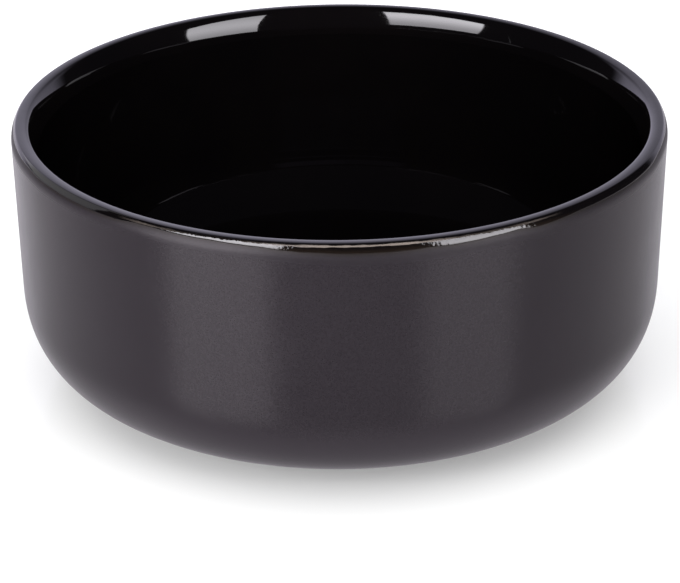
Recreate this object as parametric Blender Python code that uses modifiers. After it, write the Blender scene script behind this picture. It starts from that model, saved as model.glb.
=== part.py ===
# Straight-walled stoneware ramekin.
#
# One fired clay body on a turned foot ring carries three fired-on glaze coats:
# a gloss liner over the inside and the lip, a satin coat down the outside, and
# a small disc of glaze in the recess under the floor. The foot ring stays bare.
#
# Metres, +Z up. The origin is the centre of the foot ring, on the surface that
# the ramekin stands on, and +Z runs up the axis that every surface is turned on.

import math

import bmesh
import bpy
import numpy as np

# Finished sizes, over the glaze
RIM_DIAMETER = 0.120
HEIGHT = 0.0507
WALL_THICKNESS = 0.0047

# Lip, over the glaze: a shoulder that leans in from the outer wall, a tight edge, a crest
# that falls gently inwards, a roll over its inner side and a long blend into the inner wall.
# Each tilt is the surface's slope away from level where one of these meets the next.
LIP_SHOULDER_RADIUS = 0.0036
LIP_SHOULDER_TILT_DEG = 50.0
LIP_EDGE_RADIUS = 0.0009
LIP_CREST_TILT_DEG = 12.0
LIP_CREST_WIDTH_LEAST = 0.0004
LIP_ROLL_RADIUS = 0.0011
LIP_ROLL_TILT_DEG = 58.0
LIP_BLEND_RADIUS = 0.0090

# Clay body, as it comes off the wheel
WALL_DRAFT_DEG = 0.43
CORNER_REACH = 0.0156
CORNER_RISE = 0.0167
CORNER_SQUARENESS = 2.35
FLOOR_THICKNESS = 0.0034
INSIDE_DRAFT_DEG = 1.4
INSIDE_CORNER_RADIUS = 0.0140

# Foot ring, turned on the underside of the clay body
FOOT_DIAMETER = 0.078
FOOT_HEIGHT = 0.0037
FOOT_WIDTH = 0.0042
FOOT_DRAFT_DEG = 8.0
FOOT_EDGE_ROUND = 0.0006
FOOT_FILLET = 0.0018
RECESS_DEPTH = 0.0029
RECESS_CROWN = 0.0005
RECESS_FILLET = 0.0014

# Glaze coats
GLAZE_THICKNESS = 0.0004
SEAM_BELOW_RIM = 0.0016
GLAZE_STOP_HEIGHT = 0.0013

# Clearance between pieces that touch on the fired ramekin
FIT_GAP = 0.0003

# Facets round the axis and along the curves of the profile
SEGMENTS = 56
CORNER_STEPS = 6
ROUND_STEPS = 3
LIP_STEPS = 2
MERGE_DISTANCE = 0.00001

# Worked out from the sizes above
SKIN = GLAZE_THICKNESS + FIT_GAP
CLAY_RIM_RADIUS = RIM_DIAMETER / 2 - SKIN
CLAY_HEIGHT = HEIGHT - SKIN
INSIDE_FLOOR_HEIGHT = FOOT_HEIGHT + FLOOR_THICKNESS
SEAM_HEIGHT = HEIGHT - SEAM_BELOW_RIM
FOOT_RADIUS = FOOT_DIAMETER / 2


def clear_scene():
    """Remove what the file opened with."""
    for obj in list(bpy.data.objects):
        bpy.data.objects.remove(obj, do_unlink=True)


# Profile tools
# A profile is a list of (radius, height) points. It runs so that the clay lies
# on its right, the way a Screw modifier needs it: out along the inside floor,
# up the inside, over the lip, down the outside and in under the foot.

def arc(centre, radius, start_deg, end_deg, steps=ROUND_STEPS):
    """Points on a circular arc, both ends included."""
    angles = np.radians(np.linspace(start_deg, end_deg, steps + 1))
    return [(centre[0] + radius * math.cos(a), centre[1] + radius * math.sin(a)) for a in angles]


def carried_on(start, tilt_deg, turns, steps):
    """Points on arcs that run on from one another without a kink, each a radius and an end tilt."""
    path = [start]
    for radius, end_deg in turns:
        tilt = math.radians(tilt_deg)
        centre = (path[-1][0] + radius * math.sin(tilt), path[-1][1] - radius * math.cos(tilt))
        path += arc(centre, radius, 90 + tilt_deg, 90 + end_deg, steps)[1:]
        tilt_deg = end_deg
    return path


def squared_corner(centre, reach, rise, squareness, steps=CORNER_STEPS):
    """A quarter of a superellipse, from its widest point down to its lowest."""
    angles = np.linspace(math.pi / 2, 0, steps + 1)
    power = 2 / squareness
    return [
        (centre[0] + reach * math.sin(a) ** power, centre[1] - rise * math.cos(a) ** power)
        for a in np.clip(angles, 0, math.pi / 2)
    ]


def without_repeats(points):
    """The same profile with points closer than the merge distance made one."""
    kept = [points[0]]
    for point in points[1:]:
        if math.dist(point, kept[-1]) > MERGE_DISTANCE:
            kept.append(point)
    return kept


def offset(points, distance):
    """The profile moved away from the clay, every stretch by the same distance."""
    path = np.array(points)
    along = np.diff(path, axis=0)
    along /= np.linalg.norm(along, axis=1)[:, None]
    normals = np.stack([-along[:, 1], along[:, 0]], axis=1)
    before = np.vstack([normals[:1], normals])
    after = np.vstack([normals, normals[-1:]])
    mitre = (before + after) / (1 + (before * after).sum(axis=1))[:, None]
    moved = path + mitre * distance
    moved[path[:, 0] == 0, 0] = 0
    return [tuple(point) for point in moved]


def point_at_height(a, b, height):
    """Where the line from a to b passes a height."""
    share = (height - a[1]) / (b[1] - a[1])
    return (a[0] + (b[0] - a[0]) * share, height)


def above(points, height):
    """The stretch of a falling profile that lies above a height."""
    kept = [points[0]]
    for a, b in zip(points, points[1:]):
        if b[1] < height:
            kept.append(point_at_height(a, b, height))
            break
        kept.append(b)
    return kept


def below(points, height):
    """The stretch of a falling profile that lies below a height."""
    rising = [(r, -z) for r, z in reversed(points)]
    return [(r, -z) for r, z in reversed(above(rising, -height))]


# The clay body's profile, in four stretches

def outer_lip():
    """From the top of the outer wall, over the shoulder and the edge to the crest of the lip."""
    shoulder = math.radians(LIP_SHOULDER_TILT_DEG)
    shoulder_radius = LIP_SHOULDER_RADIUS - SKIN
    edge_radius = LIP_EDGE_RADIUS - SKIN
    rise = shoulder_radius * math.cos(shoulder) + edge_radius * (1 - math.cos(shoulder))
    turns = [(shoulder_radius, -LIP_SHOULDER_TILT_DEG), (edge_radius, 0)]
    return carried_on((CLAY_RIM_RADIUS, CLAY_HEIGHT - rise), -90, turns, LIP_STEPS)


def inner_lip():
    """From the crest of the lip, down its inward fall, its roll and its blend to the inner wall."""
    shoulder, crest, roll = (
        math.sin(math.radians(tilt))
        for tilt in (LIP_SHOULDER_TILT_DEG, LIP_CREST_TILT_DEG, LIP_ROLL_TILT_DEG)
    )
    wall = math.cos(math.radians(INSIDE_DRAFT_DEG))
    to_crest = LIP_SHOULDER_RADIUS * (1 - shoulder) + LIP_EDGE_RADIUS * shoulder
    left_over = WALL_THICKNESS - to_crest - LIP_ROLL_RADIUS * (roll - crest)
    blend_radius = min(LIP_BLEND_RADIUS, (left_over - LIP_CREST_WIDTH_LEAST) / (wall - roll))
    crest_radius = (left_over - blend_radius * (wall - roll)) / crest
    turns = [
        (crest_radius - SKIN, LIP_CREST_TILT_DEG),
        (LIP_ROLL_RADIUS - SKIN, LIP_ROLL_TILT_DEG),
        (blend_radius - SKIN, 90 - INSIDE_DRAFT_DEG),
    ]
    return carried_on(outer_lip()[-1], 0, turns, LIP_STEPS)


def inside_path():
    """From the middle of the inside floor, up the inside wall to the crest of the lip."""
    lip = inner_lip()[::-1]
    draft = math.radians(INSIDE_DRAFT_DEG)
    corner_height = INSIDE_FLOOR_HEIGHT + INSIDE_CORNER_RADIUS
    wall_foot_height = corner_height - INSIDE_CORNER_RADIUS * math.sin(draft)
    wall_foot_radius = lip[0][0] - math.tan(draft) * (lip[0][1] - wall_foot_height)
    corner_centre = (wall_foot_radius - INSIDE_CORNER_RADIUS * math.cos(draft), corner_height)
    return [
        (0, INSIDE_FLOOR_HEIGHT),
        *arc(corner_centre, INSIDE_CORNER_RADIUS, -90, -INSIDE_DRAFT_DEG, CORNER_STEPS),
        *lip,
    ]


def outside_path():
    """From the crest of the lip, down the outside, under the corner to the foot's edge."""
    slope = math.tan(math.radians(WALL_DRAFT_DEG))
    lip = outer_lip()[::-1]
    corner_top = FOOT_HEIGHT + CORNER_RISE
    wall_foot_radius = CLAY_RIM_RADIUS - slope * (lip[-1][1] - corner_top)
    corner_centre = (wall_foot_radius - CORNER_REACH, corner_top)
    foot_slope = math.tan(math.radians(FOOT_DRAFT_DEG))
    fillet_radius = FOOT_RADIUS + foot_slope * (FOOT_HEIGHT - FOOT_FILLET)
    fillet_centre = (fillet_radius + FOOT_FILLET, FOOT_HEIGHT - FOOT_FILLET)
    edge_centre = (FOOT_RADIUS - FOOT_EDGE_ROUND, FOOT_EDGE_ROUND)
    return [
        *lip,
        *squared_corner(corner_centre, CORNER_REACH, CORNER_RISE, CORNER_SQUARENESS),
        *arc(fillet_centre, FOOT_FILLET, 90, 180),
        *arc(edge_centre, FOOT_EDGE_ROUND, 0, -90),
    ]


def recess_path():
    """From the foot's inner edge, up into the recess to the axis."""
    inner_radius = FOOT_RADIUS - FOOT_WIDTH
    foot_slope = math.tan(math.radians(FOOT_DRAFT_DEG))
    fillet_radius = inner_radius - foot_slope * (RECESS_DEPTH - RECESS_FILLET)
    edge_centre = (inner_radius + FOOT_EDGE_ROUND, FOOT_EDGE_ROUND)
    fillet_centre = (fillet_radius - RECESS_FILLET, RECESS_DEPTH - RECESS_FILLET)
    crown_steps = np.linspace(1, 0, CORNER_STEPS // 2 + 1)
    return [
        *arc(edge_centre, FOOT_EDGE_ROUND, -90, -180),
        *arc(fillet_centre, RECESS_FILLET, 0, 90),
        *((fillet_centre[0] * u, RECESS_DEPTH + RECESS_CROWN * (1 - u * u)) for u in crown_steps),
    ]


def coat(clay_path):
    """The profile of a glaze coat over a stretch of the clay, with any end on the axis kept last."""
    path = without_repeats(clay_path)
    face = offset(path, SKIN)
    back = offset(path, FIT_GAP)[::-1]
    ends_on_axis = path[-1][0] == 0
    return back + face if ends_on_axis else face + back


# Turned pieces

def turned(name, profile, closed, material, collection):
    """An object whose surface is the profile turned once round the Z axis."""
    mesh = bpy.data.meshes.new(name)
    shape = bmesh.new()
    verts = [shape.verts.new((radius, 0, height)) for radius, height in profile]
    for a, b in zip(verts, verts[1:]):
        shape.edges.new((a, b))
    if closed:
        shape.edges.new((verts[-1], verts[0]))
    shape.to_mesh(mesh)
    shape.free()
    mesh.materials.append(material)
    obj = bpy.data.objects.new(name, mesh)
    collection.objects.link(obj)
    screw = obj.modifiers.new("turn", "SCREW")
    screw.axis = "Z"
    screw.angle = math.tau
    screw.steps = SEGMENTS
    screw.render_steps = SEGMENTS
    screw.use_merge_vertices = True
    screw.merge_threshold = MERGE_DISTANCE
    screw.use_smooth_shade = True
    return obj


def principled(name, colour, roughness, coat_weight=0.0):
    """A plain Principled material."""
    material = bpy.data.materials.new(name)
    material.use_nodes = True
    shader = material.node_tree.nodes["Principled BSDF"]
    shader.inputs["Base Color"].default_value = (*colour, 1)
    shader.inputs["Metallic"].default_value = 0
    shader.inputs["Roughness"].default_value = roughness
    shader.inputs["Coat Weight"].default_value = coat_weight
    return material


def build():
    clear_scene()
    collection = bpy.data.collections.new("ramekin")
    bpy.context.scene.collection.children.link(collection)

    fired_clay = principled("fired_clay", (0.36, 0.29, 0.22), 0.85)
    gloss_black = principled("gloss_black_glaze", (0.008, 0.007, 0.008), 0.06, 1.0)
    satin_charcoal = principled("satin_charcoal_glaze", (0.045, 0.040, 0.046), 0.42)

    inside = inside_path()
    outside = outside_path()
    recess = recess_path()

    clay = without_repeats(inside + outside + recess)
    turned("stoneware_body", clay, False, fired_clay, collection)

    liner = inside + above(outside, SEAM_HEIGHT)
    turned("liner_glaze", coat(liner), False, gloss_black, collection)

    outer = above(below(outside, SEAM_HEIGHT - FIT_GAP), GLAZE_STOP_HEIGHT)
    turned("outer_glaze", coat(outer), True, satin_charcoal, collection)

    recess_cover = above(recess[::-1], GLAZE_STOP_HEIGHT)[::-1]
    turned("recess_glaze", coat(recess_cover), False, satin_charcoal, collection)


build()
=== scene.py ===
# %% [markdown]
# # A low stoneware ramekin
#
# The ramekin is one turned piece of clay under three coats of glaze: gloss black over the
# inside and the lip, satin charcoal down the outside, and a disc of the same satin glaze under
# the floor. The ring that it stands on is bare clay. Everything is turned on the Z axis, so the
# work is in the curve of the lip, in the line where the two glazes meet, and in the finishes.

# %% Load the measured solids
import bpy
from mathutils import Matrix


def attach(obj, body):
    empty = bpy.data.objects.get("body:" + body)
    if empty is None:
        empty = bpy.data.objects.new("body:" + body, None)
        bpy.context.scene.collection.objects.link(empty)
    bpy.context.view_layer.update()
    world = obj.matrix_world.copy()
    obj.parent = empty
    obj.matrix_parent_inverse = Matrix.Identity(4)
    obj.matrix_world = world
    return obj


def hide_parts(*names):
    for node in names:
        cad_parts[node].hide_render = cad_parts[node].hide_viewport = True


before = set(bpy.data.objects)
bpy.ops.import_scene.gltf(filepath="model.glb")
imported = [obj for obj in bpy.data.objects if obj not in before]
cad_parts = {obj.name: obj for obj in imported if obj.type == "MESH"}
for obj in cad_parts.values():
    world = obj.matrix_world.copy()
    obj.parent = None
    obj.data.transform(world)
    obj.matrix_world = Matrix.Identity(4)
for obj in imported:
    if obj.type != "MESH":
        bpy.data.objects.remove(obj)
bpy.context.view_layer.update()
print("measured solids:", sorted(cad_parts))

# %% Modules
import functools
import math

import bmesh
import bpy
from mathutils import Matrix, Vector

# %% [markdown]
# ## The finished profile
#
# Half of a slice through the ramekin is one line: along the inside floor, up the wall, over the
# lip, down the outside and in under the foot. It could be a Bezier curve drawn by eye. Here it
# is a chain of arcs and short straight runs instead, because a lip is turned and sponged that
# way: a shoulder that leans in, a tight edge, a crest that leans out by a few degrees before it
# falls inwards, a roll and a long blend into the inner wall. Each arc takes over where the last
# one stops, at the same slope, so the gloss glaze carries no kink.

# %% Sizes over the glaze, in metres and radians
RIM_RADIUS = 0.060
RIM_HEIGHT = 0.0507
WALL_DRAFT = math.radians(0.43)
SHOULDER_RADIUS = 0.0036
EDGE_RADIUS = 0.0004
SHOULDER_TILT = math.radians(50.0)
CREST_WIDTH = 0.0015
CREST_LEAN = math.radians(4.5)
CREST_TILT = math.radians(12.35)
ROLL_RADIUS = 0.0011
ROLL_TILT = math.radians(58.0)
BLEND_RADIUS = 0.0090
INSIDE_DRAFT = math.radians(1.4)
INSIDE_FLOOR = 0.0078
INSIDE_CORNER = 0.0133
CORNER_REACH = 0.0163
CORNER_RISE = 0.0174
CORNER_SQUARENESS = 2.35
UNDERSIDE = 0.0030

# The foot ring and the recess inside it
FOOT_RADIUS = 0.0394
FOOT_INNER_RADIUS = 0.0344
FOOT_DRAFT = math.radians(8.0)
FOOT_FILLET = 0.0014
FOOT_EDGE = 0.0006
RECESS_CEILING = 0.0025
RECESS_FILLET = 0.0010
RECESS_CROWN = 0.0005
GLAZE_STOP = 0.0013

# A coat is a little thinner than the clay lies deep, so that the two never share a surface
COAT = 0.00035
CLAY_DEPTH = 0.00040

# How far the satin's surface lies under the black's
SATIN_STEP = 0.00004

# Steps along each part of the line, and where the flat parts have a ring of points
LIP_STEPS = 12
INNER_WALL_STEPS = 8
INSIDE_CORNER_STEPS = 20
FLOOR_RINGS = (0.66, 0.33, 0.0)
OUTER_WALL_STEPS = 10
OUTSIDE_CORNER_STEPS = 26
FILLET_STEPS = 8
FOOT_EDGE_STEPS = 6
RECESS_RINGS = (0.8, 0.6, 0.4, 0.2, 0.0)

# %% Lines from arcs


def arc(centre, radius, start, end, steps):
    """Points on an arc, both ends included, with the angles measured from the +r direction."""
    angles = [start + (end - start) * i / steps for i in range(steps + 1)]
    return [(centre[0] + radius * math.cos(a), centre[1] + radius * math.sin(a)) for a in angles]


def carried_on(start, tilt, turns, steps):
    """Arcs that run on from one another at the same slope, each a radius and an end tilt."""
    line = [start]
    for radius, end in turns:
        centre = (line[-1][0] + radius * math.sin(tilt), line[-1][1] - radius * math.cos(tilt))
        line += arc(centre, radius, math.pi / 2 + tilt, math.pi / 2 + end, steps)[1:]
        tilt = end
    return line


CREST_RADIUS = (CREST_WIDTH + EDGE_RADIUS * math.sin(CREST_LEAN)) / (
    math.sin(CREST_TILT) + math.sin(CREST_LEAN))
EDGE_RISE = EDGE_RADIUS * (math.cos(CREST_LEAN) - math.cos(SHOULDER_TILT))
SHOULDER_TOP = RIM_HEIGHT - EDGE_RISE - CREST_RADIUS * (1 - math.cos(CREST_LEAN))
WALL_TOP = SHOULDER_TOP - SHOULDER_RADIUS * math.cos(SHOULDER_TILT)
print("the straight wall ends", round((RIM_HEIGHT - WALL_TOP) * 1000, 2), "mm below the rim")

# %% The lip, from its tight outer edge to the inner wall


def edge_to_inner_wall(depth=0.0):
    """The lip's line at a depth under the finished surface, outer edge first."""
    reach = SHOULDER_RADIUS - depth
    start = (
        RIM_RADIUS - SHOULDER_RADIUS + reach * math.sin(SHOULDER_TILT),
        WALL_TOP + reach * math.cos(SHOULDER_TILT),
    )
    turns = [
        (EDGE_RADIUS - depth, -CREST_LEAN),
        (CREST_RADIUS - depth, CREST_TILT),
        (ROLL_RADIUS - depth, ROLL_TILT),
        (BLEND_RADIUS - depth, math.pi / 2 - INSIDE_DRAFT),
    ]
    return carried_on(start, -SHOULDER_TILT, turns, LIP_STEPS)


def outer_radius(height, depth=0.0):
    """The radius of the outside, from the tight edge down to the corner, at a height."""
    if height <= WALL_TOP:
        return RIM_RADIUS - depth - math.tan(WALL_DRAFT) * (WALL_TOP - height)
    reach = SHOULDER_RADIUS - depth
    rise = min(height - WALL_TOP, reach)
    return RIM_RADIUS - SHOULDER_RADIUS + math.sqrt(reach * reach - rise * rise)


inner_wall_top = edge_to_inner_wall()[-1]
print("the wall is", round((RIM_RADIUS - inner_wall_top[0]) * 1000, 2), "mm thick under the lip")

# %% The inside of the bowl, from the foot of the lip to the axis


def straight(start, end, steps):
    """Points on a straight run, without its end."""
    (r0, z0), (r1, z1) = start, end
    return [(r0 + (r1 - r0) * i / steps, z0 + (z1 - z0) * i / steps) for i in range(steps)]


def inner_wall_to_axis(depth=0.0):
    """The inside's line at a depth under the finished surface, top first."""
    top = edge_to_inner_wall(depth)[-1]
    centre_height = INSIDE_FLOOR + INSIDE_CORNER
    radius = INSIDE_CORNER + depth
    foot_height = centre_height - radius * math.sin(INSIDE_DRAFT)
    foot = top[0] - math.tan(INSIDE_DRAFT) * (top[1] - foot_height)
    centre = (foot - radius * math.cos(INSIDE_DRAFT), centre_height)
    corner = arc(centre, radius, -INSIDE_DRAFT, -math.pi / 2, INSIDE_CORNER_STEPS)
    wall = straight(top, (foot, foot_height), INNER_WALL_STEPS)
    floor = [(centre[0] * share, INSIDE_FLOOR - depth) for share in FLOOR_RINGS]
    return [*wall, *corner, *floor]


# %% The outside, from below the lip to the foot


def levels(start, end, steps):
    """Even heights from one height to another, without the last."""
    return [start + (end - start) * i / steps for i in range(steps)]


def wall_to_foot(top_height, depth=0.0):
    """The outside's line at a depth under the finished surface, from a height to the foot."""
    corner_top = UNDERSIDE + CORNER_RISE
    centre = outer_radius(corner_top) - CORNER_REACH
    power = 2 / CORNER_SQUARENESS
    heights = levels(top_height, corner_top, OUTER_WALL_STEPS)
    wall = [(outer_radius(height, depth), height) for height in heights]
    steps = OUTSIDE_CORNER_STEPS
    turn = [math.pi / 2 * (1 - i / steps) for i in range(steps)] + [0.0]
    corner = [
        (
            centre + (CORNER_REACH - depth) * math.sin(a) ** power,
            corner_top - (CORNER_RISE - depth) * max(math.cos(a), 0.0) ** power,
        )
        for a in turn
    ]
    fillet_height = UNDERSIDE - FOOT_FILLET
    face = FOOT_RADIUS + math.tan(FOOT_DRAFT) * fillet_height
    middle = (face + FOOT_FILLET, fillet_height)
    fillet = arc(middle, FOOT_FILLET + depth, math.pi / 2, math.pi, FILLET_STEPS)
    return [*wall, *corner, *fillet]


# %% Under the foot and in the recess


def recess(depth=0.0):
    """The line of the recess at a depth over the finished surface, from the foot to the axis."""
    fillet_height = RECESS_CEILING - RECESS_FILLET
    face = FOOT_INNER_RADIUS - math.tan(FOOT_DRAFT) * fillet_height
    centre = (face - RECESS_FILLET, fillet_height)
    fillet = arc(centre, RECESS_FILLET + depth, 0, math.pi / 2, FILLET_STEPS)
    ceiling = [
        (centre[0] * u, RECESS_CEILING + depth + RECESS_CROWN * (1 - u * u))
        for u in RECESS_RINGS
    ]
    return [*fillet, *ceiling]


def bare_ring():
    """The line of the clay that stays bare, from the outside of the foot to the recess."""
    outer = FOOT_RADIUS - CLAY_DEPTH
    inner = FOOT_INNER_RADIUS + CLAY_DEPTH
    right = math.pi / 2
    return [
        *arc((outer - FOOT_EDGE, FOOT_EDGE), FOOT_EDGE, 0, -right, FOOT_EDGE_STEPS),
        *arc((inner + FOOT_EDGE, FOOT_EDGE), FOOT_EDGE, -right, -2 * right, FOOT_EDGE_STEPS),
    ]


# %% [markdown]
# ## The seam between the glazes
#
# The black liner is poured in and the lip is dipped, so the black runs a little way down the
# outside and stops in a wandering line, high at the left of the front and low at the right. It
# could be painted as a mask on one surface. Here the coats really stop there, because a coat
# has an edge that catches the light: the black lies a hair prouder than the satin beside it.
# The line's depth is set at a few places round the rim and runs smoothly between them.

# %% Values set round the rim


def beside(table, turn_deg):
    """The two values of a table on each side of an angle, and how far it lies between them."""
    places = sorted(table)
    ends = [*places[1:], places[0] + 360]
    turn_deg = (turn_deg - places[0]) % 360 + places[0]
    start, end = next((a, b) for a, b in zip(places, ends) if b > turn_deg)
    high = table[end if end in table else end - 360]
    return table[start], high, (turn_deg - start) / (end - start)


def turn_of(vertex):
    """A vertex's angle in degrees, counted from the front of the ramekin towards +X."""
    return round(math.degrees(math.atan2(vertex.co.x, -vertex.co.y)), 3)


# %% How far the black reaches below the rim, in millimetres at angles in degrees
SEAM_DROPS = {
    -90: 0.70, -70: 0.80, -57: 0.85, -45: 0.90, -39: 0.90, -34: 0.56, -31: 0.56, -28: 0.62,
    -22: 0.74, -17: 0.82, -13: 0.90, -9: 1.12, -5: 1.36, 0: 1.48, 6: 1.52, 11: 1.42,
    16: 1.32, 22: 1.24, 26: 1.10, 29: 0.98, 33: 1.30, 38: 1.22, 44: 1.06, 52: 1.10,
    58: 1.25, 64: 1.20, 72: 0.80, 90: 0.65, 120: 0.90, 150: 0.75, 180: 1.10, 210: 0.60,
    240: 0.80,
}

# Ripples on the seam, each a height in millimetres, the waves in a turn and a shift
SEAM_RIPPLES = ((0.025, 23, 0.0), (0.02, 41, 1.0))


@functools.lru_cache(maxsize=None)
def seam_drop(turn_deg):
    """The seam's distance below the rim, at an angle counted from the front towards +X."""
    low, high, way = beside(SEAM_DROPS, turn_deg)
    share = (1 - math.cos(math.pi * way)) / 2
    turn = math.radians(turn_deg)
    ripple = sum(size * math.sin(waves * turn + shift) for size, waves, shift in SEAM_RIPPLES)
    return (low + (high - low) * share + ripple) / 1000


drops = [seam_drop(turn) * 1000 for turn in range(-180, 180)]
print("the seam lies", round(min(drops), 2), "to", round(max(drops), 2), "mm below the rim")

# %% [markdown]
# ## Turning a line into a piece
#
# A modifier could turn each line. Blender's own spin operator does it in the mesh at once, so
# that the seam can then be moved and the coat given its thickness. The operator slows down with
# the square of its steps, so it turns a quarter, and the quarter is copied round three times.
# The quarters' edges, and the points on the axis, lie on top of each other after that, so they
# are merged, and only then are the normals worked out.

# %% Spin
STEPS_ROUND = 384
SAME_PLACE = 0.000001


def spun(line):
    """A bmesh with the line turned once round the Z axis, and its faces turned to the air."""
    shape = bmesh.new()
    points = [shape.verts.new((radius, 0, height)) for radius, height in line]
    edges = [shape.edges.new(pair) for pair in zip(points, points[1:])]
    bmesh.ops.spin(
        shape, geom=points + edges, cent=(0, 0, 0), axis=(0, 0, 1), angle=math.tau / 4,
        steps=STEPS_ROUND // 4, use_merge=False, use_duplicate=False,
    )
    quarter = shape.verts[:] + shape.edges[:] + shape.faces[:]
    for turns in (1, 2, 3):
        copied = bmesh.ops.duplicate(shape, geom=quarter)["geom"]
        corners = [part for part in copied if isinstance(part, bmesh.types.BMVert)]
        round_z = Matrix.Rotation(turns * math.tau / 4, 3, "Z")
        bmesh.ops.rotate(shape, verts=corners, cent=(0, 0, 0), matrix=round_z)
    bmesh.ops.remove_doubles(shape, verts=shape.verts, dist=SAME_PLACE)
    bmesh.ops.recalc_face_normals(shape, faces=shape.faces)
    # The air is on the left of every line as it runs, so one face's normal can be tested
    middle = len(line) // 2
    (r0, z0), (r1, z1) = line[middle - 1], line[middle]
    spot = Vector(((r0 + r1) / 2, 0, (z0 + z1) / 2))
    face = min(shape.faces, key=lambda f: (f.verts[0].co - spot).length)
    if face.normal.dot(Vector((z0 - z1, 0, r1 - r0))) < 0:
        bmesh.ops.reverse_faces(shape, faces=shape.faces)
    return shape


# %% A piece from a turned shape
SHARP = math.radians(35)


def finished(name, shape, material, node):
    """The object of a turned shape, which rides on the ramekin in place of a solid."""
    mesh = bpy.data.meshes.new(name)
    shape.to_mesh(mesh)
    shape.free()
    mesh.shade_smooth()
    mesh.set_sharp_from_angle(angle=SHARP)
    mesh.materials.append(material)
    piece = bpy.data.objects.new(name, mesh)
    bpy.context.scene.collection.objects.link(piece)
    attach(piece, "root")
    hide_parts(node)
    print(name, "has", len(mesh.polygons), "faces")
    return piece


def thickened(shape):
    """Give an open coat its thickness, away from the air."""
    bmesh.ops.solidify(shape, geom=shape.faces[:], thickness=COAT)
    bmesh.ops.recalc_face_normals(shape, faces=shape.faces)
    return shape


# %% [markdown]
# ## Nodes
#
# Every finish is built from nodes on Object coordinates, which are metres on this object, so a
# scale of 900 makes bumps about a millimetre wide. A few small helpers keep the recipes short.

# %% Helpers for node trees


def add(tree, kind, inputs=(), **settings):
    """A new node. Its inputs are given by name or in order, as plain values or as sockets."""
    made = tree.nodes.new(kind)
    for key, value in settings.items():
        setattr(made, key, value)
    pairs = inputs.items() if isinstance(inputs, dict) else enumerate(inputs)
    for key, value in pairs:
        if isinstance(value, bpy.types.NodeSocket):
            tree.links.new(value, made.inputs[key])
        else:
            made.inputs[key].default_value = value
    return made


def maths(tree, operation, *values):
    """The result of a Math node."""
    return add(tree, "ShaderNodeMath", values, operation=operation).outputs[0]


def fade(tree, value, low, high, at_low=0.0, at_high=1.0):
    """A smooth change from one value to another while the input goes from low to high."""
    inputs = {
        "Value": value, "From Min": low, "From Max": high, "To Min": at_low, "To Max": at_high,
    }
    return add(tree, "ShaderNodeMapRange", inputs, interpolation_type="SMOOTHSTEP").outputs[0]


def length(tree, first, second):
    """The length of a flat vector, from its two parts."""
    squares = [maths(tree, "MULTIPLY", part, part) for part in (first, second)]
    return maths(tree, "SQRT", maths(tree, "ADD", *squares))


def noise(tree, place, scale, detail, roughness):
    """The grey of a noise texture, most of which lies between 0.3 and 0.7."""
    inputs = {"Vector": place, "Scale": scale, "Detail": detail, "Roughness": roughness}
    return add(tree, "ShaderNodeTexNoise", inputs).outputs[0]


def spread(tree, grey, at_low=0.0, at_high=1.0):
    """A noise's grey spread out to run from one value to another."""
    return fade(tree, grey, 0.3, 0.7, at_low, at_high)


def mixed(tree, share, first, second):
    """A colour between two colours."""
    made = add(tree, "ShaderNodeMix", {0: share, 6: first, 7: second}, data_type="RGBA")
    return made.outputs[2]


def rgb(red, green, blue):
    """A colour as a socket takes it."""
    return (red, green, blue, 1.0)


# %% [markdown]
# ## What all the fired surfaces share
#
# A kiln leaves the same three marks on glaze and on clay, each at its own size and strength:
# slow clouds of lighter and darker colour, a fine ripple like orange peel, and scattered pin
# specks. They are one node group with named inputs, so that each material turns them up or
# down. The gloss black takes only the first two, because no speck shows in it. The specks could
# be a thresholded noise, but Voronoi cells give round ones.

# %% The fired surface group
# The share of cells without a speck, how far out a speck is solid, and what keeps its size over 0
CELLS_BARE = 0.55
SPECK_SOLID = 0.7
SPECK_LEAST = 0.001


def fired_surface_group():
    tree = bpy.data.node_groups.new("fired_surface", "ShaderNodeTree")
    tree.interface.new_socket("Place", in_out="INPUT", socket_type="NodeSocketVector")
    for name in ("Cloud Scale", "Ripple Scale", "Speck Scale", "Speck Size"):
        tree.interface.new_socket(name, in_out="INPUT", socket_type="NodeSocketFloat")
    for name in ("Clouds", "Ripple", "Specks"):
        tree.interface.new_socket(name, in_out="OUTPUT", socket_type="NodeSocketFloat")
    given = add(tree, "NodeGroupInput").outputs
    clouds = noise(tree, given["Place"], given["Cloud Scale"], detail=4.0, roughness=0.6)
    ripple = noise(tree, given["Place"], given["Ripple Scale"], detail=2.0, roughness=0.5)
    cells = add(tree, "ShaderNodeTexVoronoi", {
        "Vector": given["Place"], "Scale": given["Speck Scale"], "Randomness": 1.0,
    })
    chosen = add(tree, "ShaderNodeSeparateColor", [cells.outputs["Color"]]).outputs[0]
    size = maths(tree, "MULTIPLY", given["Speck Size"], fade(tree, chosen, CELLS_BARE, 1.0))
    size = maths(tree, "ADD", size, SPECK_LEAST)
    inside = maths(tree, "DIVIDE", cells.outputs["Distance"], size)
    specks = fade(tree, inside, SPECK_SOLID, 1.0, 1.0, 0.0)
    marks = {"Clouds": spread(tree, clouds), "Ripple": ripple, "Specks": specks}
    add(tree, "NodeGroupOutput", marks)
    return tree


fired_surface = fired_surface_group()
print("fired surface group:", len(fired_surface.nodes), "nodes")

# %% A start for each material


def finish(name, **values):
    """A material with its Principled shader's plain values, its tree and its coordinates."""
    material = bpy.data.materials.new(name)
    material.use_nodes = True
    tree = material.node_tree
    shader = tree.nodes["Principled BSDF"]
    for key, value in values.items():
        shader.inputs[key.replace("_", " ")].default_value = value
    place = add(tree, "ShaderNodeTexCoord").outputs["Object"]
    return material, tree, shader, place


def fired(tree, place, **values):
    """The fired surface group, placed in a material with that material's values."""
    made = add(tree, "ShaderNodeGroup", node_tree=fired_surface)
    tree.links.new(place, made.inputs["Place"])
    for key, value in values.items():
        made.inputs[key.replace("_", " ")].default_value = value
    return made.outputs


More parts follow.
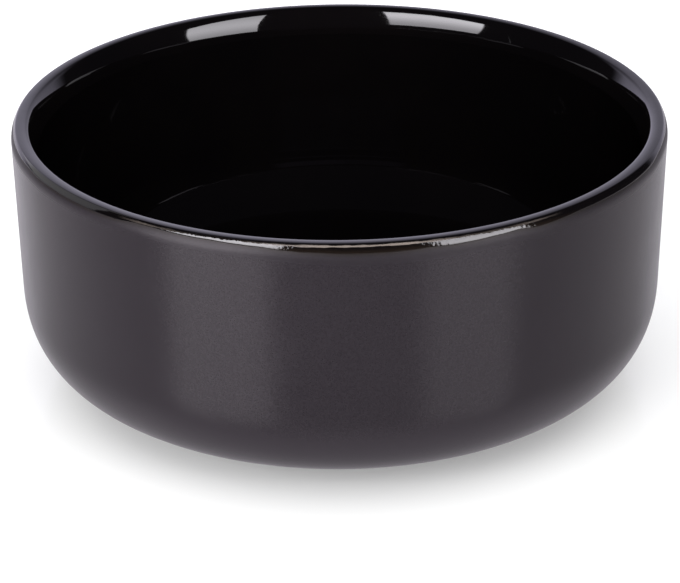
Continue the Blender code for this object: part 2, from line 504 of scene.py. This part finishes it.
def bumped(tree, shader, height, distance):
    """Feed a height into the shader's normal."""
    inputs = {"Height": height, "Distance": distance, "Strength": 1.0}
    bump = add(tree, "ShaderNodeBump", inputs)
    tree.links.new(bump.outputs["Normal"], shader.inputs["Normal"])


# %% [markdown]
# ## Gloss black glaze
#
# The liner is almost a mirror: what shows on it is the room. Its own colour is a black that
# leans to brown in slow clouds. Where the shoulder turns over, glaze runs thin as it melts and
# the clay warms it to a pinkish tan, which potters call a break. Here it is a thin line a third
# of a millimetre below the rim, so its mask is the distance from a circle, roughened by noise.
# It could be a texture laid round the edge, but a distance needs no unwrapping. Two vertex
# attributes say how strong the break is round the rim, and how near the seam a spot is, because
# at the front the black thins to brown there, and its skin is a little rugged where it ran.

# %% The gloss black's colours, and its widths in metres
BLACKS = (rgb(0.0020, 0.0016, 0.0019), rgb(0.0027, 0.0021, 0.0023))
BROWNED = rgb(0.0105, 0.0072, 0.0056)
PINKISH_TAN = rgb(0.190, 0.158, 0.141)
GLOSS_TINT = rgb(0.97, 0.945, 1.0)
GLOSS_ROUGHNESS = (0.035, 0.055)
GLOSS_BUMP = 0.00001

BREAK_DEPTH = 0.00034
BREAK_HEIGHT = RIM_HEIGHT - BREAK_DEPTH
BREAK_RADIUS = outer_radius(BREAK_HEIGHT)
BREAK_WIDTHS = (0.00012, 0.00025)
BREAK_ROUGHNESS = 0.30

# The shares of the break's width over which it fades out
BREAK_FADE = (0.45, 1.25)

# How far over the seam the black is browned, where its rugged skin ends, and how rugged it is
BROWN_REACH = 0.0011
RUGGED_FADE = (0.0009, 0.0014)
RUGGED = 3.0

# %% Gloss black glaze


def gloss_black_glaze():
    material, tree, shader, place = finish("gloss_black", IOR=1.5, Specular_Tint=GLOSS_TINT)
    marks = fired(tree, place, Cloud_Scale=38.0, Ripple_Scale=260.0)
    parts = add(tree, "ShaderNodeSeparateXYZ", [place]).outputs
    out = maths(tree, "SUBTRACT", length(tree, parts[0], parts[1]), BREAK_RADIUS)
    away = length(tree, out, maths(tree, "SUBTRACT", parts[2], BREAK_HEIGHT))
    wander = noise(tree, place, scale=420.0, detail=3.0, roughness=0.6)
    strength = add(tree, "ShaderNodeAttribute", attribute_name="break_strength").outputs["Fac"]
    width = spread(tree, wander, *BREAK_WIDTHS)
    line = fade(tree, maths(tree, "DIVIDE", away, width), *BREAK_FADE, 1.0, 0.0)
    broken = maths(tree, "MULTIPLY", line, strength)
    near_seam = add(tree, "ShaderNodeAttribute", attribute_name="from_seam").outputs["Fac"]
    thin = fade(tree, near_seam, 0.0, BROWN_REACH, 1.0, 0.0)
    black = mixed(tree, marks["Clouds"], *BLACKS)
    colour = mixed(tree, broken, mixed(tree, thin, black, BROWNED), PINKISH_TAN)
    tree.links.new(colour, shader.inputs["Base Color"])
    rough = maths(tree, "ADD", fade(tree, marks["Clouds"], 0, 1, *GLOSS_ROUGHNESS),
                  maths(tree, "MULTIPLY", broken, BREAK_ROUGHNESS))
    tree.links.new(rough, shader.inputs["Roughness"])
    pits = noise(tree, place, scale=1500.0, detail=2.0, roughness=0.5)
    rugged = maths(tree, "MULTIPLY", pits, fade(tree, near_seam, *RUGGED_FADE, RUGGED, 0.0))
    bumped(tree, shader, maths(tree, "ADD", marks["Ripple"], rugged), GLOSS_BUMP)
    return material


gloss_black = gloss_black_glaze()
print("gloss black glaze:", len(gloss_black.node_tree.nodes), "nodes")

# %% [markdown]
# ## Satin charcoal glaze
#
# The outside is a satin matt: fine crystals in the glaze spread each highlight into a broad
# sheen. The colour is a charcoal that leans to violet and to brown, in clouds, with pin specks
# that are a little darker. In the last half millimetre under the black it turns browner, and
# over the last two millimetres duller. A plain roughness would give the spread but look like
# plastic, so the roughness follows the clouds too and a fine ripple breaks the highlight's edge.

# %% The satin charcoal's colours, and its widths in metres
VIOLETS = (rgb(0.0118, 0.0082, 0.0124), rgb(0.0142, 0.0106, 0.0148))
GRAIN = rgb(0.0180, 0.0142, 0.0187)
DARK_SPECK = rgb(0.0064, 0.0050, 0.0060)
BROWN_UNDER_BLACK = rgb(0.012, 0.0085, 0.0075)
SATIN_TINT = rgb(1.0, 0.93, 1.0)
SATIN_ROUGHNESS = (0.22, 0.26)
SATIN_BUMP = 0.000013
GRAIN_FADE = (0.35, 0.65)
SPECK_DARKNESS = 0.55
SPECK_DEPTH = 0.5

# How far under the seam the satin is browned, where it stops being duller, and how much duller
SATIN_BROWN_REACH = 0.0007
DULL_FADE = (0.0004, 0.0024)
DULLED = 0.24

# %% Satin charcoal glaze


def satin_charcoal_glaze():
    material, tree, shader, place = finish("satin_charcoal", IOR=1.5, Specular_Tint=SATIN_TINT)
    marks = fired(tree, place, Cloud_Scale=55.0, Ripple_Scale=1300.0, Speck_Scale=620.0,
                  Speck_Size=0.16)
    fine = noise(tree, place, scale=2600.0, detail=3.0, roughness=0.7)
    violet = mixed(tree, marks["Clouds"], *VIOLETS)
    grained = mixed(tree, fade(tree, fine, *GRAIN_FADE), violet, GRAIN)
    darkness = maths(tree, "MULTIPLY", marks["Specks"], SPECK_DARKNESS)
    specked = mixed(tree, darkness, grained, DARK_SPECK)
    near_seam = add(tree, "ShaderNodeAttribute", attribute_name="from_seam").outputs["Fac"]
    thin = fade(tree, near_seam, 0.0, SATIN_BROWN_REACH, 1.0, 0.0)
    colour = mixed(tree, thin, specked, BROWN_UNDER_BLACK)
    tree.links.new(colour, shader.inputs["Base Color"])
    rough = maths(tree, "ADD", fade(tree, marks["Clouds"], 0, 1, *SATIN_ROUGHNESS),
                  fade(tree, near_seam, *DULL_FADE, DULLED, 0.0))
    tree.links.new(rough, shader.inputs["Roughness"])
    pricks = maths(tree, "MULTIPLY", marks["Specks"], SPECK_DEPTH)
    bumped(tree, shader, maths(tree, "SUBTRACT", marks["Ripple"], pricks), SATIN_BUMP)
    return material


satin_charcoal = satin_charcoal_glaze()
print("satin charcoal glaze:", len(satin_charcoal.node_tree.nodes), "nodes")

# %% [markdown]
# ## Bare fired clay
#
# Only the foot ring shows it: a dry buff stoneware with sand in it, faint rings from the
# turning tool, and dark specks where iron burned through. The rings are a sine of the radius,
# so they stay round whatever the noise does.

# %% Bare fired clay
BUFFS = (rgb(0.33, 0.26, 0.195), rgb(0.42, 0.345, 0.27))
IRON_SPECK = rgb(0.09, 0.06, 0.045)
CLAY_ROUGHNESS = (0.78, 0.92)
CLAY_BUMP = 0.00016
IRON_DARKNESS = 0.7
RINGS_PER_METRE = 1300.0
RING_HEIGHT = 0.18


def fired_clay():
    material, tree, shader, place = finish("bare_clay", IOR=1.45)
    marks = fired(tree, place, Cloud_Scale=90.0, Ripple_Scale=1600.0, Speck_Scale=800.0,
                  Speck_Size=0.22)
    parts = add(tree, "ShaderNodeSeparateXYZ", [place]).outputs
    across = length(tree, parts[0], parts[1])
    rings = maths(tree, "SINE", maths(tree, "MULTIPLY", across, RINGS_PER_METRE * math.tau))
    buff = mixed(tree, marks["Clouds"], *BUFFS)
    iron = maths(tree, "MULTIPLY", marks["Specks"], IRON_DARKNESS)
    colour = mixed(tree, iron, buff, IRON_SPECK)
    tree.links.new(colour, shader.inputs["Base Color"])
    tree.links.new(spread(tree, marks["Ripple"], *CLAY_ROUGHNESS), shader.inputs["Roughness"])
    height = maths(tree, "ADD", marks["Ripple"], maths(tree, "MULTIPLY", rings, RING_HEIGHT))
    bumped(tree, shader, height, CLAY_BUMP)
    return material


clay = fired_clay()
print("fired clay:", len(clay.node_tree.nodes), "nodes")

# %% [markdown]
# ## The lip
#
# This is the piece that the eye goes to: the black coat from the seam on the outside, over the
# edge and the crest, down to where the inner wall starts. Its skirt is turned to an even depth
# first, and then each ring of points slides down the shoulder to its share of the way to the
# seam. The last tenth of a millimetre rolls in, because a coat ends in a soft shoulder and not
# in a cut. Two vertex attributes are written on the way for the glaze to read. They could be
# vertex colours, but a plain number for each point is all that the glaze asks for.

# %% How the lip's coat ends
EVEN_DROP = 0.0012
EVEN_SEAM = RIM_HEIGHT - EVEN_DROP

# Points farther out than this lie on the outside of the lip
EDGE_OUTSIDE = outer_radius(SHOULDER_TOP) - 0.0001

# How far the coat's edge rolls in, and over what height
ROLL_IN = 0.00005
ROLL_OVER = 0.00013

# The distance from the seam that is written where a coat has none
FAR_FROM_SEAM = 0.003

# The black browns at the seam between two angles, and over some degrees more that fades out,
# because a spot there counts as up to a millimetre farther from the seam
BROWN_FROM, BROWN_TO, BROWN_FADE = -18.0, 34.0, 12.0
BLACK_AGAIN = 0.001

# How strongly the break shows, from 0 to 1, at angles in degrees
BREAK_STRENGTHS = {
    -180: 0.6, -110: 0.3, -60: 0.0, -38: 0.0, -33: 0.35, -28: 0.2, -22: 0.0, -17: 0.0,
    -12: 0.3, -8: 0.6, -4: 1.0, 11: 1.0, 15: 0.5, 20: 0.2, 27: 0.15, 33: 0.3, 38: 0.0,
    80: 0.0, 120: 0.4,
}


def break_strength(turn_deg):
    """How strongly the edge of the lip breaks to tan at an angle."""
    low, high, share = beside(BREAK_STRENGTHS, turn_deg)
    return low * (1 - share) + high * share


def note_seam(shape):
    """Write each point's distance from the seam, and the strength of the break, on the mesh."""
    distance = shape.verts.layers.float.new("from_seam")
    strength = shape.verts.layers.float.new("break_strength")
    for vertex in shape.verts:
        seam = RIM_HEIGHT - seam_drop(turn_of(vertex))
        outside = math.hypot(vertex.co.x, vertex.co.y) > EDGE_OUTSIDE
        beyond = max(0.0, BROWN_FROM - turn_of(vertex), turn_of(vertex) - BROWN_TO)
        away = max(0.0, vertex.co.z - seam) + BLACK_AGAIN * min(1.0, beyond / BROWN_FADE)
        vertex[distance] = away if outside else FAR_FROM_SEAM
        vertex[strength] = break_strength(turn_of(vertex))


def far_from_seam(shape):
    """Write on a coat that has no seam that all of it lies far from one."""
    distance = shape.verts.layers.float.new("from_seam")
    for vertex in shape.verts:
        vertex[distance] = FAR_FROM_SEAM


# %% The lip
SKIRT_STEPS = 14


def move_ring_point(vertex, radius, height):
    """Move a vertex to another radius and height at the same angle."""
    scale = radius / math.hypot(vertex.co.x, vertex.co.y)
    vertex.co = (vertex.co.x * scale, vertex.co.y * scale, height)


def make_lip():
    skirt = levels(EVEN_SEAM, SHOULDER_TOP, SKIRT_STEPS)
    line = [(outer_radius(height), height) for height in skirt] + edge_to_inner_wall()
    shape = spun(line[::-1])
    for vertex in shape.verts:
        height = vertex.co.z
        outside = math.hypot(vertex.co.x, vertex.co.y) > EDGE_OUTSIDE
        if outside and height < SHOULDER_TOP - SAME_PLACE:
            share = (SHOULDER_TOP - height) / (SHOULDER_TOP - EVEN_SEAM)
            seam = RIM_HEIGHT - seam_drop(turn_of(vertex))
            height = SHOULDER_TOP - share * (SHOULDER_TOP - seam)
            radius = outer_radius(height) - ROLL_IN * max(0.0, 1 - (height - seam) / ROLL_OVER)
            move_ring_point(vertex, radius, height)
    note_seam(shape)
    return finished("lip_glaze", thickened(shape), gloss_black, "liner_glaze")


lip = make_lip()

# %% [markdown]
# ## The well
#
# The rest of the liner: the inner wall, the sweep into the floor and the floor itself. It is
# the same glaze and could be one mesh with the lip. It is parted from the lip only so that the
# lamps can light the two apart. The join lies where the lip's blend has become the straight
# inner wall, and both lines end there at the same point and slope, so it can't be seen.

# %% The well


def make_well():
    shape = spun(inner_wall_to_axis()[::-1])
    far_from_seam(shape)
    return finished("well_glaze", thickened(shape), gloss_black, "liner_glaze")


well = make_well()

# %% [markdown]
# ## The satin coat
#
# From the seam down the straight wall, round the corner, and down the foot to where the glaze
# was wiped off before firing. Its top ring follows the seam as the lip's skirt does, and the
# rings under it share out the distance, so that no ring crosses another. It could be the clay's
# own surface in a second colour, but a coat that stops has an edge to see at the foot.

# %% The satin coat
# From this height down its rings are level again
SETTLED = RIM_HEIGHT - 0.0035
COLLAR_STEPS = 10


def make_satin_coat():
    collar = levels(EVEN_SEAM, SETTLED, COLLAR_STEPS)
    line = [(outer_radius(height, SATIN_STEP), height) for height in collar]
    line += wall_to_foot(SETTLED, SATIN_STEP)
    line.append((line[-1][0] - math.tan(FOOT_DRAFT) * (line[-1][1] - GLAZE_STOP), GLAZE_STOP))
    shape = spun(line)
    for vertex in shape.verts:
        if vertex.co.z > SETTLED + SAME_PLACE:
            share = (EVEN_SEAM - vertex.co.z) / (EVEN_SEAM - SETTLED)
            seam = RIM_HEIGHT - seam_drop(turn_of(vertex)) - SAME_PLACE
            height = seam - share * (seam - SETTLED)
            move_ring_point(vertex, outer_radius(height, SATIN_STEP), height)
    distance = shape.verts.layers.float.new("from_seam")
    for vertex in shape.verts:
        vertex[distance] = max(0.0, RIM_HEIGHT - seam_drop(turn_of(vertex)) - vertex.co.z)
    return finished("satin_coat", thickened(shape), satin_charcoal, "outer_glaze")


satin_coat = make_satin_coat()

# %% [markdown]
# ## The recess and the clay
#
# The picture shows neither. The disc of satin glaze in the recess is a coat like the others.
# The clay under all of them is one closed shape: the same lines again, 0.4 mm deeper, joined by
# the bare ring. It could be left out where glaze hides it, but a cut or an X-ray view of the
# part should show clay there.

# %% The recess disc


def make_recess_disc():
    line = recess()
    stop = (line[0][0] + math.tan(FOOT_DRAFT) * (line[0][1] - GLAZE_STOP), GLAZE_STOP)
    shape = spun([stop, *line])
    far_from_seam(shape)
    return finished("recess_disc", thickened(shape), satin_charcoal, "recess_glaze")


recess_disc = make_recess_disc()

# %% The clay body
CLAY_RINGS = 4
CLAY_RING_GAP = 0.0005


def make_clay_body():
    inside = inner_wall_to_axis(CLAY_DEPTH)[::-1] + edge_to_inner_wall(CLAY_DEPTH)[::-1][1:]
    outside = wall_to_foot(WALL_TOP, CLAY_DEPTH)
    shoulder = [
        (outer_radius(height, CLAY_DEPTH), height)
        for height in (SHOULDER_TOP - CLAY_RING_GAP * i for i in range(1, CLAY_RINGS + 1))
    ]
    line = inside + shoulder + outside + bare_ring() + recess(CLAY_DEPTH)
    return finished("clay_body", spun(line), clay, "stoneware_body")


clay_body = make_clay_body()

# %% [markdown]
# ## Floor and backdrop
#
# The ramekin stands on a white table with nothing in sight behind it. The table has to look
# white to the camera, keep the shadow, and still throw no more light on the ramekin than a table
# does. It could be one bright emitter, but that would wash the shadow out. So its colour is a
# plain diffuse white under a thin gloss, which mirrors see as a grey, a painted shade, with a
# little emission that depends on who looks. The camera sees some of it near the foot, a little
# less right round the foot, which is a painted shadow, and more farther off, where the picture
# is pure white. Mirrors see more of it behind the ramekin than at the right, hardly any in
# front, where the room is dark, and a painted pool of light under the corner, which the satin
# wall picks up as it turns under.

# %% The table's whites and glows, and the distances in metres over which they change
TABLE_REACH = 4.0
TABLE_GAP = 0.0002
TABLE_WHITE = rgb(0.80, 0.80, 0.80)
# The grey that mirrors see in place of the white: painted shade on the table's reflection
TABLE_SHADED_IN_MIRRORS = rgb(0.30, 0.30, 0.30)
TABLE_ROUGHNESS = 0.08
TABLE_IOR = 1.7

# Less camera glow round the foot: a painted shadow that deepens the contact shadow
GLOW_IN_PAINTED_SHADOW = 0.21
GLOW_FOR_CAMERA = 0.28
ROUND_FOOT = (0.044, 0.056)
FAR_OFF = (0.10, 0.40)

GLOW_IN_FRONT = 0.08
GLOW_BEHIND = 0.44
FRONT_TO_BACK = (-0.10, 0.04)
GLOW_AT_RIGHT = 0.72
LEFT_TO_RIGHT = (-0.04, 0.08)
# A painted pool of light on the table under the corner, which only mirrors see
PAINTED_POOL_UNDER = 0.39
UNDER_CORNER = (0.062, 0.092)
TINT_IN_MIRRORS = rgb(1.0, 0.93, 1.03)

# %% The table's finish


def table_material():
    material = bpy.data.materials.new("table")
    material.use_nodes = True
    tree = material.node_tree
    tree.nodes.clear()
    place = add(tree, "ShaderNodeTexCoord").outputs["Object"]
    to_right, to_back, _ = add(tree, "ShaderNodeSeparateXYZ", [place]).outputs
    rays = add(tree, "ShaderNodeLightPath").outputs
    seen = maths(tree, "MAXIMUM", rays["Is Glossy Ray"], rays["Is Transmission Ray"])
    across = length(tree, to_right, to_back)
    open_table = maths(tree, "MULTIPLY",
                       fade(tree, to_back, *FRONT_TO_BACK, GLOW_IN_FRONT, GLOW_BEHIND),
                       fade(tree, to_right, *LEFT_TO_RIGHT, 1.0, GLOW_AT_RIGHT))
    # A painted pool of light under the corner, for mirrors only
    under = fade(tree, across, *UNDER_CORNER, PAINTED_POOL_UNDER, 0.0)
    mirrored = maths(tree, "MAXIMUM", open_table, under)
    # The camera's glow dips round the foot: a painted shadow
    near = fade(tree, across, *ROUND_FOOT, GLOW_IN_PAINTED_SHADOW, GLOW_FOR_CAMERA)
    far_off = fade(tree, across, *FAR_OFF, 0.0, 1.0 - GLOW_FOR_CAMERA)
    white_out = maths(tree, "ADD", near, far_off)
    shown = maths(tree, "MAXIMUM", maths(tree, "MULTIPLY", rays["Is Camera Ray"], white_out),
                  maths(tree, "MULTIPLY", seen, mirrored))
    tint = mixed(tree, seen, rgb(1, 1, 1), TINT_IN_MIRRORS)
    glow = add(tree, "ShaderNodeEmission", {"Color": tint, "Strength": shown})
    # Mirrors see the table grey: painted shade on its reflection
    top = add(tree, "ShaderNodeBsdfPrincipled", {
        "Base Color": mixed(tree, seen, TABLE_WHITE, TABLE_SHADED_IN_MIRRORS),
        "Roughness": TABLE_ROUGHNESS, "IOR": TABLE_IOR,
    })
    both = add(tree, "ShaderNodeAddShader", [top.outputs[0], glow.outputs[0]])
    add(tree, "ShaderNodeOutputMaterial", [both.outputs[0]])
    return material


# %% The table


def make_floor():
    shape = bmesh.new()
    bmesh.ops.create_grid(shape, x_segments=1, y_segments=1, size=TABLE_REACH)
    mesh = bpy.data.meshes.new("floor")
    shape.to_mesh(mesh)
    shape.free()
    mesh.materials.append(table_material())
    made = bpy.data.objects.new("floor", mesh)
    bpy.context.scene.collection.objects.link(made)
    made.location.z = -TABLE_GAP
    return made


floor = make_floor()

# %% [markdown]
# ## The room
#
# Behind the ramekin stands a wall that is bright up to 17 degrees over the table and fades out
# by 45 degrees, and is dimmer at the right. That is what makes the crest of the lip grey, and
# lets the slopes that mirror the ceiling fall to black. The world paints the wall for mirrors
# only, with the faint lilac that the picture's mirrored light has. The camera gets plain white,
# and everything else a dim room. A real wall mesh could do it, but the camera would see its top.

# %% World
WALL_FULL = math.radians(17.0)
WALL_END = math.radians(45.0)
DIM_ROOM = 0.02
WALL_AT_RIGHT = 0.68
WALL_IN_MIRRORS = rgb(0.98, 0.94, 1.15)

# The wall comes in over these parts of a direction to the back, and dims over these to the right
WALL_STARTS = (0.56, 0.72)
WALL_DIMS = (-0.05, 0.14)


def light_the_room():
    world = bpy.data.worlds.new("room")
    bpy.context.scene.world = world
    world.use_nodes = True
    tree = world.node_tree
    tree.nodes.clear()
    way = add(tree, "ShaderNodeTexCoord").outputs["Generated"]
    to_right, to_back, up = add(tree, "ShaderNodeSeparateXYZ", [way]).outputs
    rays = add(tree, "ShaderNodeLightPath").outputs
    low = fade(tree, up, math.sin(WALL_FULL), math.sin(WALL_END), 1.0, 0.0)
    behind = maths(tree, "MULTIPLY", fade(tree, to_back, *WALL_STARTS),
                   fade(tree, to_right, *WALL_DIMS, 1.0, WALL_AT_RIGHT))
    seen = maths(tree, "MAXIMUM", rays["Is Glossy Ray"], rays["Is Transmission Ray"])
    band = maths(tree, "MULTIPLY", maths(tree, "MULTIPLY", low, behind), seen)
    light = maths(tree, "MAXIMUM", maths(tree, "MAXIMUM", rays["Is Camera Ray"], band), DIM_ROOM)
    tint = mixed(tree, seen, rgb(1, 1, 1), WALL_IN_MIRRORS)
    back = add(tree, "ShaderNodeBackground", {"Color": tint, "Strength": light})
    add(tree, "ShaderNodeOutputWorld", [back.outputs[0]])


light_the_room()
print("the wall behind shows in mirrors up to", round(math.degrees(WALL_END)), "degrees")

# %% [markdown]
# ## Lamps as a photographer sets them
#
# Glossy ware is lit by what it mirrors, so the lamps are upright softboxes whose outlines are
# the outlines of the highlights. A point lamp or a sun could give the level but not the shapes.
# A softbox is brighter where the tube behind its cloth sits than at its ends, and cloth hangs
# with a lean, as a curtain does. The two softboxes for the lip show both, so their glow is
# worked out across them.

# %% A softbox


def softbox(name, turn_deg, distance, sides, heights, brightness, facing_deg=None, glow=None):
    """An upright area light at an angle from the front, which faces the ramekin's axis.

    Its sides and heights are in metres, and it may face another angle. The glow is how bright
    its bottom and top are beside its brightest height, where that height is, how far its outer
    edge leans out, and how far its top slopes down across it.
    """
    turn = math.radians(turn_deg)
    face = math.radians(turn_deg if facing_deg is None else facing_deg)
    away = Vector((math.sin(face), -math.cos(face), 0))
    side = Vector((math.cos(face), math.sin(face), 0))
    light = bpy.data.lights.new(name, "AREA")
    light.shape = "RECTANGLE"
    light.size = sides[1] - sides[0]
    light.size_y = heights[1] - heights[0]
    light.energy = brightness * light.size * light.size_y * math.pi
    lamp = bpy.data.objects.new(name, light)
    bpy.context.scene.collection.objects.link(lamp)
    lamp.location = Vector((math.sin(turn), -math.cos(turn), 0)) * distance
    lamp.location += side * sum(sides) / 2 + Vector((0, 0, sum(heights) / 2))
    lamp.rotation_euler = (-away).to_track_quat("-Z", "Y").to_euler()
    if glow:
        glow_over(light, turn_deg < 0, **glow)
    lamp.visible_camera = False
    print(name, "at", [round(v, 3) for v in lamp.location], "with", round(light.energy, 2), "W")
    return lamp


# %% The glow across a softbox
SOFT_EDGE = 0.03


def glow_over(light, outer_is_left, bottom, top, peak, lean, slope):
    """Make a softbox brightest at one height, with an outer edge and a top that slope."""
    light.use_nodes = True
    tree = light.node_tree
    tree.nodes.clear()
    across, up, _ = add(tree, "ShaderNodeSeparateXYZ", [
        add(tree, "ShaderNodeNewGeometry").outputs["Parametric"]]).outputs
    if not outer_is_left:
        across = maths(tree, "SUBTRACT", 1.0, across)
    lowered = maths(tree, "MULTIPLY", maths(tree, "SUBTRACT", 1.0, across), slope)
    under_top = fade(tree, maths(tree, "ADD", up, lowered), 1.0 - SOFT_EDGE, 1.0, 1.0, 0.0)
    cut = maths(tree, "MULTIPLY", maths(tree, "SUBTRACT", 1.0, up), lean)
    inside = fade(tree, maths(tree, "SUBTRACT", across, cut), 0.0, SOFT_EDGE)
    rise = fade(tree, up, 0.0, peak, bottom, 1.0)
    fall = fade(tree, up, peak, 1.0, 1.0, top)
    strength = maths(tree, "MULTIPLY", maths(tree, "MULTIPLY", inside, under_top),
                     maths(tree, "MULTIPLY", rise, fall))
    glow = add(tree, "ShaderNodeEmission", {"Strength": strength})
    add(tree, "ShaderNodeOutputLight", [glow.outputs[0]])


# %% Lamps that light some things only


def shines_on(lamps, name, things):
    """Link lamps to the only things that they light."""
    receivers = bpy.data.collections.new(name)
    bpy.context.scene.collection.children.link(receivers)
    for thing in things:
        receivers.objects.link(thing)
    for lamp in lamps:
        lamp.light_linking.receiver_collection = receivers
    print(name, [thing.name for thing in things])


# %% [markdown]
# ## Two softboxes and a card for the lip
#
# The long bright patches on the rim are the mirror images of two large softboxes, one at each
# side of the camera. Where a patch starts and stops round the rim gives a softbox's left and
# right edges, and where it starts and stops across the shoulder gives the heights. A small
# dim card behind the left side gives the dull mauve band at the left end of the lip. The inside
# of the bowl shows none of them, so they light the lip alone.

# %% The lip's lamps
rim_left = softbox(
    "rim_left", turn_deg=-42.0, distance=1.2, sides=(-0.62, 0.445), heights=(0.275, 1.22),
    brightness=13.2, facing_deg=-30.0,
    glow={"bottom": 0.45, "top": 0.9, "peak": 0.7, "lean": 0.24, "slope": 0.20},
)
rim_right = softbox(
    "rim_right", turn_deg=47.0, distance=1.2, sides=(-0.297, 0.50), heights=(0.005, 1.15),
    brightness=9.6, facing_deg=35.0,
    glow={"bottom": 0.55, "top": 0.75, "peak": 0.5, "lean": 0.21, "slope": 0.24},
)
rim_card = softbox(
    "rim_card", turn_deg=-160.0, distance=0.03, sides=(0.07, 0.20), heights=(0.055, 0.145),
    brightness=0.85,
)
shines_on((rim_left, rim_right, rim_card), "lit_by_rim_lamps", (lip,))

# %% [markdown]
# ## Two softboxes for the wall
#
# The satin wall shows a broad sheen at the left and at the right of the front. The lip's lamps
# could give it, but they stand too high for the sheen to run down the whole wall. These two
# stand nearer and lower. They light the table too, whose thin gloss carries them down the wall.

# %% The wall's lamps
wall_left = softbox(
    "wall_left", turn_deg=-39.0, distance=0.35, sides=(-0.107, 0.107), heights=(0.02, 0.24),
    brightness=7.0,
)
wall_right = softbox(
    "wall_right", turn_deg=43.0, distance=0.35, sides=(-0.105, 0.085), heights=(0.02, 0.24),
    brightness=4.1,
)
shines_on((wall_left, wall_right), "lit_by_wall_lamps", (satin_coat, recess_disc, clay_body, floor))

# %% [markdown]
# ## Fill lamps
#
# A room has light from everywhere, which gives the contact shadow its soft edge and keeps the
# inside from being a hole. The world could give it, but a brighter world would grey every
# mirror. So two wide lamps stand in for it, which no mirror shows: one over the table for the
# shadow, and one in front for the inside of the bowl.

# %% A fill lamp


def fill(name, place, size, brightness):
    """A square area light that faces the ramekin and that no mirror shows."""
    light = bpy.data.lights.new(name, "AREA")
    light.size = size
    light.energy = brightness * size * size * math.pi
    lamp = bpy.data.objects.new(name, light)
    bpy.context.scene.collection.objects.link(lamp)
    lamp.location = place
    lamp.rotation_euler = Vector(place).to_track_quat("Z", "Y").to_euler()
    lamp.visible_glossy = False
    print(name, "is", size, "m square with", round(light.energy, 2), "W")
    return lamp


# %% The table's lamp and the well's lamp
table_lamp = fill("table_lamp", place=(0, 0, 0.5), size=1.2, brightness=1.8)
shines_on((table_lamp,), "lit_by_table_lamp", (floor, clay_body))

well_lamp = fill("well_lamp", place=(0, -0.6, 0.35), size=0.6, brightness=5.4)
shines_on((well_lamp,), "lit_by_well_lamp", (well,))

# %% [markdown]
# ## Camera
#
# A long lens from just above, as such product pictures are taken. Its place and tilt were found
# by fitting the rim, the corner and the foot of the profile to the outline in the picture.

# %% Camera
CAMERA_PLACE = Vector((0.0, -0.38027, 0.20023))
CAMERA_YAW = math.radians(-0.021)
CAMERA_PITCH = math.radians(-26.191)
CAMERA_ROLL = math.radians(-0.498)
CAMERA_LENS = 117.34
CAMERA_SENSOR = 36.0


def place_camera():
    data = bpy.data.cameras.new("camera")
    data.sensor_width = CAMERA_SENSOR
    data.lens = CAMERA_LENS
    camera = bpy.data.objects.new("camera", data)
    bpy.context.scene.collection.objects.link(camera)
    ahead = Vector((
        math.sin(CAMERA_YAW) * math.cos(CAMERA_PITCH),
        math.cos(CAMERA_YAW) * math.cos(CAMERA_PITCH),
        math.sin(CAMERA_PITCH),
    ))
    level = ahead.cross(Vector((0, 0, 1))).normalized()
    up = level.cross(ahead)
    side = math.cos(CAMERA_ROLL) * level + math.sin(CAMERA_ROLL) * up
    top = -math.sin(CAMERA_ROLL) * level + math.cos(CAMERA_ROLL) * up
    turned = Matrix((side, top, -ahead)).transposed().to_4x4()
    turned.translation = CAMERA_PLACE
    camera.matrix_world = turned
    bpy.context.scene.camera = camera


place_camera()
bpy.context.scene.view_settings.view_transform = "Standard"
print("camera", round(CAMERA_PLACE.length, 3), "m from the middle of the foot")
